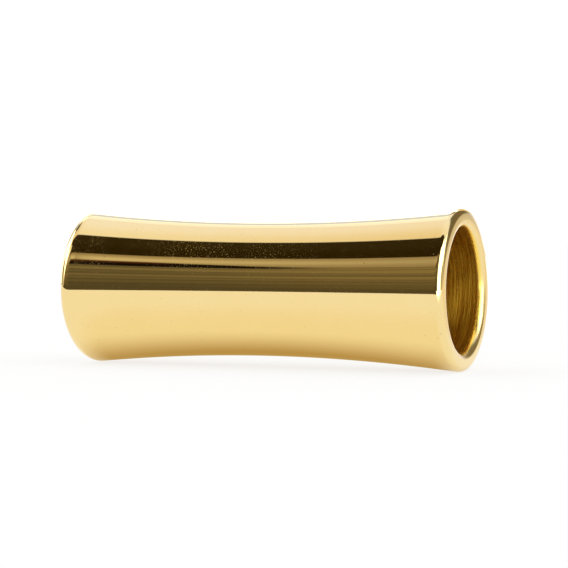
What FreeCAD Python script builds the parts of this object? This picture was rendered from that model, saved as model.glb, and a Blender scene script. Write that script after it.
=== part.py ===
import FreeCAD, Part
import math
import os

import Sketcher

# A turned brass finger slide, made from one piece of bar.  It lies on its side: the bore axis is
# the X axis, the flared lip end is at +X and the tip end at -X.  The origin is on the axis, half
# way along.  The outside is waisted by one shallow concave arc from the lip to the tip.

os.makedirs("parts", exist_ok=True)
doc = FreeCAD.newDocument("finger_slide")

# Driving dimensions, in millimetres and degrees: name, value, meaning.
DIMENSIONS = [
    ("overall_length", 63.5, "end to end along the bore axis"),
    ("bore_radius", 9.525, "the finger bore"),
    ("waist_radius", 10.74, "outside at the thinnest section"),
    ("waist_from_lip", 31.9, "thinnest section, from the lip end"),
    ("waist_arc_radius", 291.0, "the concave arc of the outside"),
    ("lip_crest_radius", 10.6, "where the lip's end face stands furthest out"),
    ("lip_crown_radius", 14.0, "the arc of the lip's end face, falling away outwards"),
    ("lip_corner_round", 1.0, "outer corner of the lip"),
    ("mouth_depth", 1.3, "from the lip end to where the bore starts to open out"),
    ("mouth_ease", 2.0, "the gentle arc in which the bore starts to open out"),
    ("mouth_round", 0.95, "from that arc round to the lip's end face"),
    ("tip_corner_round", 2.0, "outer corner of the tip"),
    ("tip_bore_round", 0.4, "edge of the bore at the tip"),
    ("full_turn", 360.0, "angle swept by the section"),
]

sheet = doc.addObject("Spreadsheet::Sheet", "sizes")
for row, (alias, value, meaning) in enumerate(DIMENSIONS, start=1):
    sheet.set("A%d" % row, alias)
    sheet.set("B%d" % row, str(value))
    sheet.set("C%d" % row, meaning)
    sheet.setAlias("B%d" % row, alias)
doc.recompute()

size = {alias: value for alias, value, meaning in DIMENSIONS}

# Stations along the axis (x) and radii (y) that place the section's curves.
lip_x = size["overall_length"] / 2.0
tip_x = -lip_x
waist_x = lip_x - size["waist_from_lip"]
mouth_x = lip_x - size["mouth_depth"]
bore = size["bore_radius"]
outside_centre_y = size["waist_radius"] + size["waist_arc_radius"]


def outside_radius(x):
    """Radius of the concave outside at this station."""
    return outside_centre_y - math.sqrt(size["waist_arc_radius"] ** 2 - (x - waist_x) ** 2)


def outside_slope(x):
    """Slope of the concave outside at this station, in degrees."""
    return math.degrees(math.asin((x - waist_x) / size["waist_arc_radius"]))


def origin_plane(body, role):
    """The body's own origin plane that has this role."""
    for feature in body.Origin.OriginFeatures:
        if feature.Role == role:
            return feature
    raise RuntimeError("no origin plane " + role)


def line(x1, y1, x2, y2):
    """Sketch line between two points."""
    return Part.LineSegment(FreeCAD.Vector(x1, y1, 0), FreeCAD.Vector(x2, y2, 0))


def arc(x, y, radius, first, last):
    """Sketch arc about a centre, counter-clockwise between two angles in degrees."""
    circle = Part.Circle(FreeCAD.Vector(x, y, 0), FreeCAD.Vector(0, 0, 1), radius)
    return Part.ArcOfCircle(circle, math.radians(first), math.radians(last))


body = doc.addObject("PartDesign::Body", "slide_body")
body.Label = "slide_body"

# Half section of the wall.  Sketch x runs along the bore axis and sketch y outwards from it.
section = body.newObject("Sketcher::SketchObject", "wall_section")
section.AttachmentSupport = [(origin_plane(body, "XZ_Plane"), "")]
section.MapMode = "FlatFace"

# The roundings start close to their places; their tangencies then settle them exactly.
ease = size["mouth_ease"]
mouth = size["mouth_round"]
lip = size["lip_corner_round"]
tip = size["tip_corner_round"]
tip_edge = size["tip_bore_round"]
crest = size["lip_crest_radius"]
crown = size["lip_crown_radius"]
face_edge = math.degrees(math.asin((outside_radius(lip_x) - crest - lip) / crown))
opening = math.asin((size["mouth_depth"] - mouth) / (ease - mouth))
opened = math.degrees(opening) - 90.0
mouth_centre_y = bore + ease - (ease - mouth) * math.cos(opening)
lip_slope = outside_slope(lip_x)
tip_slope = outside_slope(tip_x)

CURVES = [
    ("bore", line(tip_x + tip_edge, bore, mouth_x, bore)),
    ("mouth_ease", arc(mouth_x, bore + ease, ease, -90.0, opened)),
    ("mouth_round", arc(lip_x - mouth, mouth_centre_y, mouth, opened, 0.0)),
    ("lip_face", arc(lip_x - crown, crest, crown, 0.0, face_edge)),
    ("lip_round", arc(lip_x - lip, outside_radius(lip_x) - lip, lip, face_edge, 90.0 + lip_slope)),
    (
        "outside",
        arc(waist_x, outside_centre_y, size["waist_arc_radius"], tip_slope - 90.0, lip_slope - 90.0),
    ),
    ("tip_round", arc(tip_x + tip, outside_radius(tip_x) - tip, tip, 90.0 + tip_slope, 180.0)),
    ("tip_face", line(tip_x, outside_radius(tip_x) - tip, tip_x, bore + tip_edge)),
    ("tip_edge", arc(tip_x + tip_edge, bore + tip_edge, tip_edge, 180.0, 270.0)),
]
curve = {}
for name, geometry in CURVES:
    curve[name] = section.addGeometry(geometry, False)

# Sketcher's numbers for the ends and the centre of a curve, and for the sketch's own origin.
START, END, CENTRE = 1, 2, 3
SKETCH_ORIGIN = (-1, 1)

for first, first_end, second, second_end in (
    ("bore", END, "mouth_ease", START),
    ("mouth_ease", END, "mouth_round", START),
    ("mouth_round", END, "lip_face", START),
    ("lip_face", END, "lip_round", START),
    ("lip_round", END, "outside", END),
    ("outside", START, "tip_round", START),
    ("tip_round", END, "tip_face", START),
    ("tip_face", END, "tip_edge", START),
    ("tip_edge", END, "bore", START),
):
    section.addConstraint(
        Sketcher.Constraint("Tangent", curve[first], first_end, curve[second], second_end)
    )
section.addConstraint(Sketcher.Constraint("Horizontal", curve["bore"]))
section.addConstraint(Sketcher.Constraint("Vertical", curve["tip_face"]))


def drive(name, formula, kind, *measured):
    """Add a dimension at its present value, name it and bind it to the sheet."""
    index = section.addConstraint(Sketcher.Constraint(kind, *measured))
    section.renameConstraint(index, name)
    section.setExpression("Constraints." + name, formula)


def drive_point(name, x_formula, y_formula, curve_name, point, x, y):
    """Drive where one point of a curve is, measured from the sketch's origin."""
    place = (*SKETCH_ORIGIN, curve[curve_name], point)
    if x_formula:
        drive(name + "_along", x_formula, "DistanceX", *place, x)
    if y_formula:
        drive(name + "_radius", y_formula, "DistanceY", *place, y)


drive_point("bore_end", "sizes.overall_length / 2 - sizes.mouth_depth", "sizes.bore_radius",
            "bore", END, mouth_x, bore)
drive_point("crown_centre", "sizes.overall_length / 2 - sizes.lip_crown_radius",
            "sizes.lip_crest_radius", "lip_face", CENTRE, lip_x - crown, crest)
drive_point("waist_centre", "sizes.overall_length / 2 - sizes.waist_from_lip",
            "sizes.waist_radius + sizes.waist_arc_radius",
            "outside", CENTRE, waist_x, outside_centre_y)
drive_point("tip_end", "-sizes.overall_length / 2", None, "tip_face", START, tip_x, None)
for curve_name, alias in (
    ("mouth_ease", "mouth_ease"),
    ("mouth_round", "mouth_round"),
    ("lip_face", "lip_crown_radius"),
    ("lip_round", "lip_corner_round"),
    ("outside", "waist_arc_radius"),
    ("tip_round", "tip_corner_round"),
    ("tip_edge", "tip_bore_round"),
):
    drive(curve_name + "_arc", "sizes." + alias, "Radius", curve[curve_name], size[alias])

if section.solve() != 0:
    raise RuntimeError("the section's constraints do not solve")
doc.recompute()

turned = body.newObject("PartDesign::Revolution", "turned_wall")
turned.Profile = section
turned.ReferenceAxis = (section, ["H_Axis"])
turned.setExpression("Angle", "sizes.full_turn")
body.Placement = FreeCAD.Placement(FreeCAD.Vector(0, 0, 0), FreeCAD.Rotation(0, 0, 0, 1))
doc.recompute()

for feature in doc.Objects:
    if "Invalid" in feature.State or "Error" in feature.State:
        raise RuntimeError(feature.Name + " did not compute")
if body.Shape.isNull() or not body.Shape.isValid():
    raise RuntimeError("the slide has no valid shape")

body.Shape.exportStep(os.path.join("parts", body.Label + ".step"))
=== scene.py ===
import math
import random

import bmesh
import bpy
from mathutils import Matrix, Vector


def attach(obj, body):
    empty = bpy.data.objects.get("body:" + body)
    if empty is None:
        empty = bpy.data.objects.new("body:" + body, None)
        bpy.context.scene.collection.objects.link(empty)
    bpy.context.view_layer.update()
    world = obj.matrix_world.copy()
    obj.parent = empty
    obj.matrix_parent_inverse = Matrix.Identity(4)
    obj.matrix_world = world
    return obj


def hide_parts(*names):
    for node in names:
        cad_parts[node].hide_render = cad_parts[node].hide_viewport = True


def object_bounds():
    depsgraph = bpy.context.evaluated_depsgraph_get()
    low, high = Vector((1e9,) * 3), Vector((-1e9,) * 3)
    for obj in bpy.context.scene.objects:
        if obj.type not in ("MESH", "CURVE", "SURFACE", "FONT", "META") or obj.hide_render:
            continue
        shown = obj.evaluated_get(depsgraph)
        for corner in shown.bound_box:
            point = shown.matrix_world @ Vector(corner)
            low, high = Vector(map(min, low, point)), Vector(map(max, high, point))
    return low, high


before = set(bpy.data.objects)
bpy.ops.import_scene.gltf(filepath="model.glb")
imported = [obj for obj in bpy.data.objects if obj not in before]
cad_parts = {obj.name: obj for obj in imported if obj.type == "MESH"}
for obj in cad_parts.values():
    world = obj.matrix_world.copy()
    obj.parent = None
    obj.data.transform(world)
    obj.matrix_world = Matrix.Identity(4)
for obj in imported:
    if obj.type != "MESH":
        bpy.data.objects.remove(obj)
cad_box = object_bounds()

# A turned brass finger slide.  The bore axis is X, the flared lip end is at +X and the tip end at -X.
# Sizes of the turning, in metres: stations run along X, radii are measured from the X axis.
MM = 0.001
LIP_X = 31.75 * MM
TIP_X = -LIP_X
BORE_R = 9.525 * MM
WAIST_X = LIP_X - 31.9 * MM
WAIST_R = 10.74 * MM
WAIST_ARC = 291.0 * MM
CREST_R = 10.6 * MM
CROWN_ARC = 14.0 * MM
LIP_ROUND = 1.0 * MM
MOUTH_X = LIP_X - 1.3 * MM
MOUTH_EASE = 2.0 * MM
MOUTH_ROUND = 0.95 * MM
TIP_ROUND = 2.0 * MM
TIP_EDGE = 0.4 * MM

# How many steps make the full turn, and the angle in degrees past which an edge stays sharp.
TURN_STEPS = 192
SMOOTH_UP_TO = 14.0

# Feed marks that the boring tool left in the wall.
FEED_PITCH = 0.5 * MM
FEED_DEPTH = 0.014 * MM


# ---------------------------------------------------------------- the turned wall


def arc_points(x, r, radius, first, last, steps):
    """Points on an arc of the section, from one angle to another."""
    points = []
    for step in range(steps + 1):
        angle = first + (last - first) * step / steps
        points.append((x + radius * math.cos(angle), r + radius * math.sin(angle)))
    return points


def angle_of(centre, point):
    """Direction from a centre to a point, from 0 to a full turn."""
    return math.atan2(point[1] - centre[1], point[0] - centre[0]) % (2.0 * math.pi)


def circles_meet(first, first_r, second, second_r, side):
    """Where two circles cross; side picks one of the two points."""
    dx = second[0] - first[0]
    dr = second[1] - first[1]
    apart = math.hypot(dx, dr)
    along = (apart ** 2 + first_r ** 2 - second_r ** 2) / (2.0 * apart)
    across = side * math.sqrt(first_r ** 2 - along ** 2)
    x = first[0] + (along * dx - across * dr) / apart
    r = first[1] + (along * dr + across * dx) / apart
    return x, r


def bore_points():
    """The bore's wall from the tip to the mouth, with the tool's shallow feed marks."""
    tool = random.Random(31)
    start = TIP_X + TIP_EDGE
    marks = int((MOUTH_X - start) / FEED_PITCH)
    pitch = (MOUTH_X - start) / marks
    points = [(start, BORE_R)]
    for mark in range(marks):
        left = start + mark * pitch
        depth = FEED_DEPTH * tool.uniform(0.35, 1.0)
        points.append((left + pitch * tool.uniform(0.4, 0.6), BORE_R + depth))
        points.append((left + pitch, BORE_R))
    return points


def wall_section():
    """The closed section of the wall: out through the mouth, over the lip and back to the tip."""
    outside = (WAIST_X, WAIST_R + WAIST_ARC)
    crown = (LIP_X - CROWN_ARC, CREST_R)

    # The mouth opens in a gentle arc from the bore, then rounds over to touch the lip's crowned face.
    ease = (MOUTH_X, BORE_R + MOUTH_EASE)
    mouth = circles_meet(crown, CROWN_ARC - MOUTH_ROUND, ease, MOUTH_EASE - MOUTH_ROUND, -1)
    opened = angle_of(ease, mouth) - 2.0 * math.pi
    mouth_end = angle_of(crown, mouth) - 2.0 * math.pi

    # The outer corners of the lip and the tip touch the long concave arc.
    lip = circles_meet(crown, CROWN_ARC - LIP_ROUND, outside, WAIST_ARC + LIP_ROUND, -1)
    lip_start = angle_of(crown, lip)
    lip_end = angle_of(lip, outside)
    tip_x = TIP_X + TIP_ROUND
    tip = (tip_x, outside[1] - math.sqrt((WAIST_ARC + TIP_ROUND) ** 2 - (tip_x - WAIST_X) ** 2))
    tip_start = angle_of(tip, outside)

    lip_side = angle_of(outside, lip)
    tip_side = angle_of(outside, tip)
    points = bore_points()
    points += arc_points(*ease, MOUTH_EASE, -math.pi / 2.0, opened, 6)[1:]
    points += arc_points(*mouth, MOUTH_ROUND, opened, mouth_end, 20)[1:]
    points += arc_points(*crown, CROWN_ARC, mouth_end, lip_start, 8)[1:]
    points += arc_points(*lip, LIP_ROUND, lip_start, lip_end, 22)[1:]
    points += arc_points(*outside, WAIST_ARC, lip_side, tip_side, 90)[1:]
    points += arc_points(*tip, TIP_ROUND, tip_start, math.pi, 26)[1:]
    points.append((TIP_X, BORE_R + TIP_EDGE))
    points += arc_points(TIP_X + TIP_EDGE, BORE_R + TIP_EDGE, TIP_EDGE, math.pi, 1.5 * math.pi, 8)[1:]
    return points


def turn_slide():
    """Draws the wall's section point by point, then turns it once round the bore axis."""
    bpy.ops.object.select_all(action="DESELECT")
    bpy.ops.mesh.primitive_plane_add(size=MM, location=(0.0, 0.0, 0.0))
    slide = bpy.context.object
    slide.name = "turned_slide"
    slide.data.name = "turned_slide"
    section = wall_section()
    bpy.ops.object.mode_set(mode="EDIT")

    # One corner of the plane is kept as the first point of the section.
    mesh = bmesh.from_edit_mesh(slide.data)
    mesh.verts.ensure_lookup_table()
    for vert in mesh.verts:
        vert.select_set(vert.index != 0)
    mesh.select_flush_mode()
    bmesh.update_edit_mesh(slide.data)
    bpy.ops.mesh.delete(type="VERT")
    bpy.ops.mesh.select_all(action="SELECT")
    mesh = bmesh.from_edit_mesh(slide.data)
    mesh.verts.ensure_lookup_table()
    corner = mesh.verts[0].co.copy()
    at = Vector((section[0][0], 0.0, section[0][1]))
    bpy.ops.transform.translate(value=at - corner)
    for x, r in section[1:]:
        step = Vector((x, 0.0, r)) - at
        bpy.ops.mesh.extrude_vertices_move(TRANSFORM_OT_translate={"value": step})
        at = Vector((x, 0.0, r))

    bpy.ops.mesh.select_all(action="SELECT")
    bpy.ops.mesh.remove_doubles(threshold=0.001 * MM)
    bpy.ops.mesh.spin(
        steps=TURN_STEPS, angle=2.0 * math.pi, center=(0.0, 0.0, 0.0), axis=(1.0, 0.0, 0.0)
    )
    bpy.ops.mesh.select_all(action="SELECT")
    bpy.ops.mesh.remove_doubles(threshold=0.001 * MM)
    bpy.ops.mesh.normals_make_consistent(inside=False)
    bpy.ops.object.mode_set(mode="OBJECT")
    bpy.ops.object.shade_smooth_by_angle(angle=math.radians(SMOOTH_UP_TO))
    bpy.ops.object.modifier_add(type="WEIGHTED_NORMAL")
    slide.modifiers[-1].keep_sharp = True
    bpy.ops.object.modifier_apply(modifier=slide.modifiers[-1].name)
    return slide


# ---------------------------------------------------------------- node helpers


class Nodes:
    """Adds nodes to a tree and wires them in one line each."""

    def __init__(self, tree):
        self.tree = tree
        tree.nodes.clear()

    def add(self, kind, settings=None, inputs=None):
        """A node with its settings and inputs; an input is a value or another node's output."""
        node = self.tree.nodes.new(kind)
        for name, value in (settings or {}).items():
            setattr(node, name, value)
        for name, value in (inputs or {}).items():
            if isinstance(value, bpy.types.NodeSocket):
                self.tree.links.new(value, node.inputs[name])
            else:
                node.inputs[name].default_value = value
        return node

    def math(self, operation, first, second=0.0):
        """Result of one sum."""
        return self.add("ShaderNodeMath", {"operation": operation}, {0: first, 1: second}).outputs[0]

    def times(self, first, *others):
        """Product of two or more values."""
        for other in others:
            first = self.math("MULTIPLY", first, other)
        return first

    def line(self, value, slope, start):
        """start + slope * value."""
        node = self.add("ShaderNodeMath", {"operation": "MULTIPLY_ADD"}, {0: value, 1: slope, 2: start})
        return node.outputs[0]

    def rise(self, value, low, high, smooth=True):
        """0 at low, 1 at high and level beyond both; low may be the larger of the two."""
        kind = "SMOOTHSTEP" if smooth else "LINEAR"
        node = self.add(
            "ShaderNodeMapRange",
            {"interpolation_type": kind},
            {"Value": value, "From Min": low, "From Max": high},
        )
        return node.outputs["Result"]

    def fall(self, value, low, high):
        """1 below low, 0 above high."""
        return self.math("SUBTRACT", 1.0, self.rise(value, low, high))

    def between(self, value, low, high, soft):
        """1 between low and high, falling to 0 over a soft edge at both."""
        return self.times(
            self.rise(value, low - soft, low + soft), self.fall(value, high - soft, high + soft)
        )

    def mix(self, factor, first, second):
        """Colour mix; each colour is a tuple or an output."""
        node = self.add("ShaderNodeMix", {"data_type": "RGBA", "clamp_result": False})
        for slot, value in ((0, factor), (6, first), (7, second)):
            if isinstance(value, bpy.types.NodeSocket):
                self.tree.links.new(value, node.inputs[slot])
            elif slot == 0:
                node.inputs[slot].default_value = value
            else:
                node.inputs[slot].default_value = (*value, 1.0)
        return node.outputs[2]

    def noise(self, vector, scale, detail=2.0, roughness=0.5):
        """Noise between 0 and 1."""
        return self.add(
            "ShaderNodeTexNoise",
            {},
            {"Vector": vector, "Scale": scale, "Detail": detail, "Roughness": roughness},
        ).outputs["Fac"]

    def stretch(self, vector, scale):
        """The same coordinates, scaled along each axis."""
        return self.add("ShaderNodeMapping", {}, {"Vector": vector, "Scale": scale}).outputs[0]

    def split(self, vector):
        """The three parts of a vector."""
        parts = self.add("ShaderNodeSeparateXYZ", {}, {"Vector": vector}).outputs
        return parts["X"], parts["Y"], parts["Z"]

    def bump(self, height, strength, distance, **normal):
        """A normal tilted by a height; it may start from another bump's normal."""
        inputs = {"Height": height, "Strength": strength, "Distance": distance, **normal}
        return self.add("ShaderNodeBump", {}, inputs).outputs[0]

    def blend(self, factor, first, second):
        """Mix of two shaders."""
        inputs = {0: factor, 1: first.outputs[0], 2: second.outputs[0]}
        return self.add("ShaderNodeMixShader", {}, inputs)

    def surface(self, shader):
        """Makes this node the material's surface."""
        self.add("ShaderNodeOutputMaterial", {}, {"Surface": shader.outputs[0]})


def new_material(name):
    """A new material, its empty tree, and the piece's own coordinates to pattern it by."""
    material = bpy.data.materials.new(name)
    material.use_nodes = True
    n = Nodes(material.node_tree)
    return material, n, n.add("ShaderNodeTexCoord").outputs["Object"]


# ---------------------------------------------------------------- finishes


def settled_dust(n, place):
    """Fine dust in drifts, most of it on the upper side towards the tip."""
    x, _, z = n.split(place)
    grains = n.rise(n.noise(place, 5600.0, 1.0, 0.5), 0.62, 0.70)
    drifts = n.rise(n.noise(place, 150.0, 3.0, 0.6), 0.34, 0.60)
    settled = n.times(n.rise(z, 1.5 * MM, 4.5 * MM), n.rise(x, 14.0 * MM, -6.0 * MM))
    return n.times(grains, drifts, n.line(settled, 0.80, 0.20))


def polished_brass():
    """Buffed brass: near mirror, with faint haze and hairlines, tiny pits and a little dust."""
    material, n, place = new_material("polished_brass")
    haze = n.noise(place, 90.0, 3.0, 0.6)
    dust = settled_dust(n, place)
    pits = n.rise(n.noise(place, 2300.0, 1.0, 0.5), 0.745, 0.79)
    hairlines = n.noise(n.stretch(place, (4200.0, 160.0, 160.0)), 1.0, 2.0, 0.6)
    waves = n.noise(place, 140.0, 1.0, 0.4)

    # Round the bore's two edges the brass was polished less. Next to the bore a deeper gold is painted
    # in as a painted reflection of the bore's gold.
    _, y, z = n.split(place)
    radius = n.math("SQRT", n.math("ADD", n.times(y, y), n.times(z, z)))
    edge = n.fall(radius, 10.0 * MM, 10.6 * MM)
    painted_bore_reflection = n.fall(radius, 9.60 * MM, 9.78 * MM)

    colour = n.mix(haze, (0.90, 0.685, 0.315), (0.93, 0.73, 0.36))
    colour = n.mix(dust, colour, (0.93, 0.62, 0.16))
    colour = n.mix(n.times(pits, 0.45), colour, (0.50, 0.33, 0.12))
    colour = n.mix(painted_bore_reflection, colour, (0.97, 0.70, 0.15))
    metal = n.math("SUBTRACT", 1.0, n.times(dust, 0.25))

    rough = n.line(haze, 0.03, 0.02)
    for mark, depth in ((n.rise(hairlines, 0.55, 0.8), 0.03), (pits, 0.2), (edge, 0.22)):
        rough = n.math("ADD", rough, n.times(mark, depth))
    lined = n.bump(hairlines, 0.003, 0.0001)
    swelled = n.bump(waves, 0.014, 0.0003, Normal=lined)
    finish = {"Metallic": metal, "Base Color": colour, "Roughness": rough, "Normal": swelled}
    n.surface(n.add("ShaderNodeBsdfPrincipled", {}, finish))
    return material


def bored_brass():
    """The bore as the tool left it: satin, ringed with fine feed lines, browner than the polish."""
    material, n, place = new_material("bored_brass")
    rings = n.noise(n.stretch(place, (4600.0, 90.0, 90.0)), 1.0, 3.0, 0.7)
    broad = n.noise(n.stretch(place, (1300.0, 130.0, 130.0)), 1.0, 2.0, 0.6)
    stain = n.noise(place, 320.0, 4.0, 0.65)
    cut = n.math("ADD", n.times(rings, 0.65), n.times(broad, 0.35))

    # Painted shade makes the wall browner above and below. It is also darker towards the mouth.
    x, _, z = n.split(place)
    painted_shade_above_below = n.rise(n.math("ABSOLUTE", z), 2.0 * MM, 7.0 * MM)
    darker_to_mouth = n.rise(x, 26.0 * MM, 30.5 * MM, smooth=False)

    colour = n.mix(n.rise(cut, 0.34, 0.66), (0.47, 0.205, 0.008), (1.0, 0.69, 0.075))
    colour = n.mix(n.times(n.rise(stain, 0.5, 0.75), 0.5), colour, (0.36, 0.17, 0.01))
    colour = n.mix(n.times(painted_shade_above_below, 0.42), colour, (0.31, 0.125, 0.003))
    colour = n.mix(n.times(darker_to_mouth, 0.50), colour, (0.30, 0.12, 0.005))
    rough = n.line(rings, 0.25, 0.34)
    ringed = n.bump(cut, 0.6, 0.00012)
    finish = {"Metallic": 1.0, "Base Color": colour, "Roughness": rough, "Normal": ringed}
    n.surface(n.add("ShaderNodeBsdfPrincipled", {}, finish))
    return material


def finish_slide(slide):
    """Polish everywhere but on the bore's wall."""
    slide.data.materials.clear()
    slide.data.materials.append(polished_brass())
    slide.data.materials.append(bored_brass())
    for face in slide.data.polygons:
        radius = math.hypot(face.center.y, face.center.z)
        in_bore = radius < BORE_R + 2.0 * FEED_DEPTH and face.center.x < MOUTH_X
        face.material_index = 1 if in_bore else 0


# ---------------------------------------------------------------- studio

FLOOR_SIZE = 6.0
FLOOR_GLOW = 0.99
FLOOR_GLOW_SHARE = 0.80
EVEN_LIGHT = (1.12, 1.12, 1.12)

# Light that the brass reflects.  The floor meets the backdrop, so the two share these.
BRIGHT = (3.0, 3.0, 3.0)
BACKDROP = (1.08, 1.12, 1.50)
BACKDROP_GLARE = (1.70, 1.75, 2.30)
BACKDROP_SIDE = (0.94, 0.86, 0.68)

# The camera's place in metres, and its turn and dip in degrees.
CAMERA_AT = (0.11668, -0.27990, 0.00893)
CAMERA_TURN = 22.28
CAMERA_DIP = 1.579
CAMERA_LENS = 122.57
CAMERA_SENSOR = 36.0


def backdrop_light(n, lean, glare):
    """The backdrop: cool white, warmer on the lip's side, with a stripe where glare lets it show."""
    cloth = n.mix(n.rise(lean, 0.225, 0.30), BACKDROP, BACKDROP_SIDE)
    return n.mix(n.times(n.between(lean, 0.18, 0.255, 0.02), glare), cloth, BACKDROP_GLARE)


def floor_reflection(n, place):
    """The floor as the brass reflects it, all painted: a painted gold glow round the slide with a
    painted shadow under it, and unlit past its front edge.
    """
    x, y, _ = n.split(place)
    alongside = n.fall(n.math("ABSOLUTE", x), 0.027, 0.0335)
    painted_glow_around = n.fall(n.math("ABSOLUTE", y), 0.008, 0.036)
    painted_shadow_under = n.fall(n.math("ABSOLUTE", y), 0.001, 0.0108)
    # Painted light: a warm gold glow round the slide, and a painted shadow, gold-brown, close under it.
    light = n.mix(n.times(alongside, painted_glow_around), (1.0, 1.0, 0.97), (0.98, 0.93, 0.76))
    light = n.mix(n.times(alongside, painted_shadow_under), light, (0.52, 0.36, 0.13))

    # Behind the slide it takes on the backdrop's light.
    lean = n.math("DIVIDE", x, n.math("MAXIMUM", y, 0.001))
    light = n.mix(n.rise(y, 0.04, 0.12), light, backdrop_light(n, lean, 1.0))

    # In front, the lit side wall stands to the right, and all else past the edge is the unlit room.
    front = n.times(y, -1.0)
    right = n.rise(x, 0.045, 0.060)
    past_edge = n.times(n.rise(front, 0.150, 0.156), n.math("SUBTRACT", 1.0, right))
    light = n.mix(n.times(right, n.rise(front, 0.03, 0.14)), light, BRIGHT)
    return n.mix(past_edge, light, (0.092, 0.074, 0.038))


def pale_floor(lowest):
    """A wide pale sheet that the slide lies on."""
    bpy.ops.object.select_all(action="DESELECT")
    bpy.ops.mesh.primitive_plane_add(size=FLOOR_SIZE, location=(0.0, 0.0, lowest))
    floor = bpy.context.object
    floor.name = "studio_floor"
    material, n, place = new_material("pale_sheet")
    grain = n.noise(place, 900.0, 3.0, 0.6)
    sheet = n.mix(grain, (0.93, 0.93, 0.925), (0.95, 0.95, 0.945))
    paper = n.add("ShaderNodeBsdfDiffuse", {}, {"Color": sheet})
    white = (1.0, 1.0, 1.0, 1.0)
    glow = n.add("ShaderNodeEmission", {}, {"Color": white, "Strength": FLOOR_GLOW})
    plain = n.blend(FLOOR_GLOW_SHARE, paper, glow)
    # In reflections the sheet is replaced by a painted floor: painted glow and painted shadow round the
    # slide.
    mirrored = n.add("ShaderNodeEmission", {}, {"Color": floor_reflection(n, place)})
    reflected = n.add("ShaderNodeLightPath").outputs["Is Glossy Ray"]
    n.surface(n.blend(reflected, plain, mirrored))
    floor.data.materials.append(material)


# In the tent, turn is degrees round the bore axis: 0 at the front, 90 overhead, 180 behind.
# Lean is how far a direction leans towards the lip end (+) or the tip end (-).


def tent_directions(n):
    """Turn and lean of the direction looked in."""
    x, y, z = n.split(n.add("ShaderNodeTexCoord").outputs["Generated"])
    turn = n.times(n.math("ARCTAN2", z, n.times(y, -1.0)), 180.0 / math.pi)
    across = n.math("SQRT", n.math("ADD", n.times(y, y), n.times(z, z)))
    return turn, n.math("DIVIDE", x, n.math("MAXIMUM", across, 0.001))


def ceiling_cloth(n, turn, lean):
    """The bright cloth with its softer ceiling, and the seam between ceiling and backdrop."""
    high = n.rise(turn, 84.0, 112.0)
    main_part = n.mix(high, (0.99, 0.97, 0.92), (1.04, 1.08, 1.28))
    tip_part = n.mix(high, (0.90, 0.79, 0.58), (0.96, 0.90, 0.90))
    ceiling = n.mix(n.rise(lean, -0.36, -0.54), main_part, tip_part)
    ceiling_end = n.line(n.rise(lean, -0.80, -0.65), 21.0, 104.0)
    ceiling_end = n.math("ADD", ceiling_end, n.times(n.rise(lean, -0.39, -0.35), 7.5))
    over = n.fall(n.math("SUBTRACT", turn, ceiling_end), -1.5, 1.5)
    over = n.times(over, n.rise(turn, 80.0, 84.0), n.between(lean, -1.15, 0.95, 0.10))
    cloth = n.mix(over, BRIGHT, ceiling)

    # The seam is dark, but for a short way light comes through it and on to the cloth over it.
    lit_join = n.between(lean, -0.50, -0.35, 0.03)
    cloth = n.mix(n.times(lit_join, n.between(turn, 122.0, 131.0, 1.5)), cloth, (1.20, 1.24, 1.45))
    seam = n.mix(lit_join, (0.34, 0.30, 0.26), (0.76, 0.88, 1.25))
    cloth = n.mix(n.between(turn, 131.0, 140.0, 0.8), cloth, seam)
    fold = n.times(n.between(turn, 103.0, 129.0, 3.0), n.between(lean, -1.10, -0.70, 0.04))
    return n.mix(fold, cloth, (0.10, 0.12, 0.10))


def backdrop_cloth(n, turn, lean, cloth):
    """The tent behind the slide: its plain cloth, the shaded corner and two duller panels."""
    below_floor = n.rise(turn, -90.0, -100.0)
    cloth = n.mix(below_floor, cloth, (0.95, 0.93, 0.88))
    plain = n.times(n.rise(turn, 100.0, 125.0), n.rise(lean, -0.05, 0.10))
    cloth = n.mix(plain, cloth, backdrop_light(n, lean, n.rise(turn, 160.0, 172.0)))

    shade = n.mix(n.rise(turn, 118.0, 135.0), (0.15, 0.18, 0.15), (0.19, 0.15, 0.085))
    corner = n.times(n.rise(turn, 108.0, 120.0), n.rise(lean, 0.02, 0.14))
    corner = n.times(corner, n.fall(turn, 166.0, 186.0), n.fall(lean, 0.9, 3.2))
    cloth = n.mix(corner, cloth, shade)

    tip_side = n.times(n.rise(turn, 141.0, 150.0), n.between(lean, -1.6, -0.50, 0.08))
    cloth = n.mix(tip_side, cloth, (1.08, 1.05, 0.98))
    grey_panel = n.times(n.between(turn, 134.0, 160.0, 8.0), n.between(lean, -1.5, -0.9, 0.06))
    cloth = n.mix(grey_panel, cloth, (0.50, 0.47, 0.42))
    cream_panel = n.times(n.between(turn, 146.0, 174.0, 3.0), n.between(lean, -0.17, 0.14, 0.03))
    return n.mix(cream_panel, cloth, (0.90, 0.80, 0.56))


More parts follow.
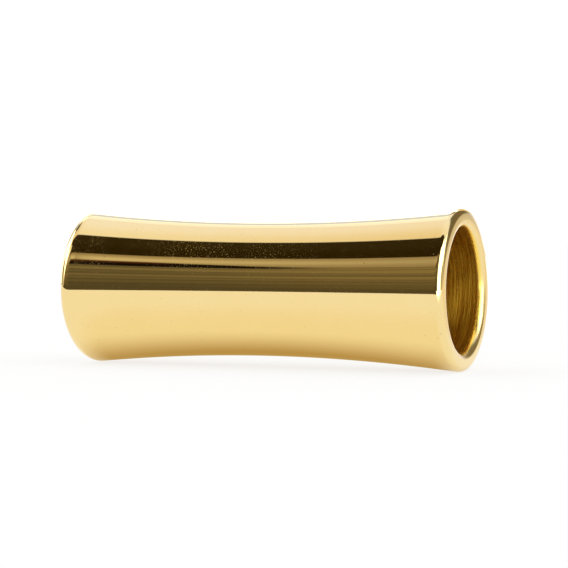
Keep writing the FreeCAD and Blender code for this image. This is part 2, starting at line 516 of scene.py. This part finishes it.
def dark_room(n, turn, lean):
    """What lies past the open side: a streaked wall, a pale strip over it and an unlit ceiling."""
    to_tip = n.rise(lean, -0.33, -0.55)
    low_wall = n.mix(to_tip, (0.086, 0.072, 0.038), (0.115, 0.090, 0.041))
    high_wall = n.mix(to_tip, (0.215, 0.178, 0.095), (0.285, 0.225, 0.108))
    room = n.mix(n.rise(turn, -4.0, 26.0), low_wall, high_wall)
    along = n.add("ShaderNodeCombineXYZ", {}, {"X": n.times(lean, 1.6), "Y": turn}).outputs[0]
    streaks = n.rise(n.noise(along, 0.30, 3.0, 0.6), 0.40, 0.62)
    fine = n.rise(n.noise(along, 1.3, 2.0, 0.6), 0.42, 0.64)
    room = n.mix(n.times(streaks, 0.58), room, (0.06, 0.05, 0.028))
    room = n.mix(n.times(fine, 0.36), room, (0.05, 0.042, 0.025))

    strip_start = n.line(n.rise(lean, -0.50, -0.36), 4.6, 35.4)
    crown = n.mix(n.rise(lean, -0.33, -0.57, smooth=False), (0.71, 0.63, 0.43), (0.42, 0.37, 0.24))
    strip = n.mix(n.between(turn, 40.5, 46.5, 4.0), (0.34, 0.275, 0.165), crown)
    on_strip = n.rise(n.math("SUBTRACT", turn, strip_start), -0.9, 1.1)
    room = n.mix(n.times(on_strip, n.rise(lean, -0.304, -0.338)), room, strip)

    # A black gap under the strip narrows towards the tip.  A rusty line starts at its upper edge and
    # runs on towards the lip.
    gap_end = n.line(n.rise(lean, -0.51, -0.35), 5.8, 34.4)
    gap = n.times(n.between(turn, 33.0, 40.2, 0.8), n.rise(lean, -0.312, -0.320))
    gap = n.times(gap, n.rise(n.math("SUBTRACT", gap_end, turn), -0.5, 0.5), n.rise(lean, -0.50, -0.44))
    room = n.mix(gap, room, (0.008, 0.005, 0.003))
    rust = n.times(n.between(turn, 37.6, 40.6, 0.9), n.rise(lean, -0.40, -0.36))
    room = n.mix(n.times(rust, 0.55), room, (0.11, 0.035, 0.012))

    unlit = n.mix(n.rise(turn, 56.0, 74.0), (0.024, 0.015, 0.002), (0.032, 0.022, 0.006))
    return n.mix(n.rise(turn, 50.0, 51.6), room, unlit)


def open_side(n, turn, lean):
    """Where the tent is open, and where its frame glows just past the opening's left edge."""
    below_top = n.fall(turn, 81.8, 84.0)
    left_edge = n.math(
        "MINIMUM", n.line(turn, 0.0389, -2.856), n.line(n.rise(turn, 66.0, 73.0), -0.24, -0.665)
    )
    past_left = n.math("SUBTRACT", left_edge, lean)
    right_edge = n.line(n.rise(turn, 58.0, 72.0), 0.20, 0.30)
    opening = n.times(below_top, n.fall(past_left, -0.02, 0.03))
    opening = n.times(opening, n.rise(n.math("SUBTRACT", right_edge, lean), -0.08, 0.06))
    opening = n.times(opening, n.rise(turn, -60.0, -50.0))
    frame_glow = n.times(below_top, n.fall(past_left, 0.12, 0.8), n.rise(past_left, -0.05, 0.0))
    return opening, frame_glow


def light_tent():
    """A white tent round the slide, open and unlit on the side that it is looked at from."""
    world = bpy.data.worlds.new("light_tent")
    bpy.context.scene.world = world
    world.use_nodes = True
    n = Nodes(world.node_tree)
    turn, lean = tent_directions(n)
    cloth = backdrop_cloth(n, turn, lean, ceiling_cloth(n, turn, lean))
    opening, frame_glow = open_side(n, turn, lean)
    cloth = n.mix(frame_glow, cloth, (1.0, 0.92, 0.72))

    # The tent's two far ends, which show most when the slide is looked at end on.
    end_wall = n.mix(n.between(turn, 62.0, 96.0, 6.0), (0.60, 0.54, 0.42), (0.16, 0.13, 0.08))
    cloth = n.mix(n.rise(n.math("ABSOLUTE", lean), 2.1, 3.4), cloth, end_wall)
    seen = n.mix(opening, cloth, dark_room(n, turn, lean))

    # Only reflections in the brass show the tent's pattern; all else gets an even light.
    reflected = n.add("ShaderNodeLightPath").outputs["Is Glossy Ray"]
    seen = n.mix(reflected, EVEN_LIGHT, seen)
    light = n.add("ShaderNodeBackground", {}, {"Color": seen, "Strength": 1.0})
    n.add("ShaderNodeOutputWorld", {}, {"Surface": light.outputs[0]})


def place_camera():
    """Looks at the slide from a little towards its lip end and a little above its axis."""
    data = bpy.data.cameras.new("studio_camera")
    data.lens = CAMERA_LENS
    data.sensor_width = CAMERA_SENSOR
    data.clip_start = 0.01
    camera = bpy.data.objects.new("studio_camera", data)
    bpy.context.scene.collection.objects.link(camera)
    camera.location = CAMERA_AT
    camera.rotation_euler = (math.radians(90.0 - CAMERA_DIP), 0.0, math.radians(CAMERA_TURN))
    bpy.context.scene.camera = camera


slide = turn_slide()
finish_slide(slide)
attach(slide, "root")
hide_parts("slide_body")

pale_floor(cad_box[0][2])
light_tent()
place_camera()
bpy.context.scene.view_settings.view_transform = "Standard"
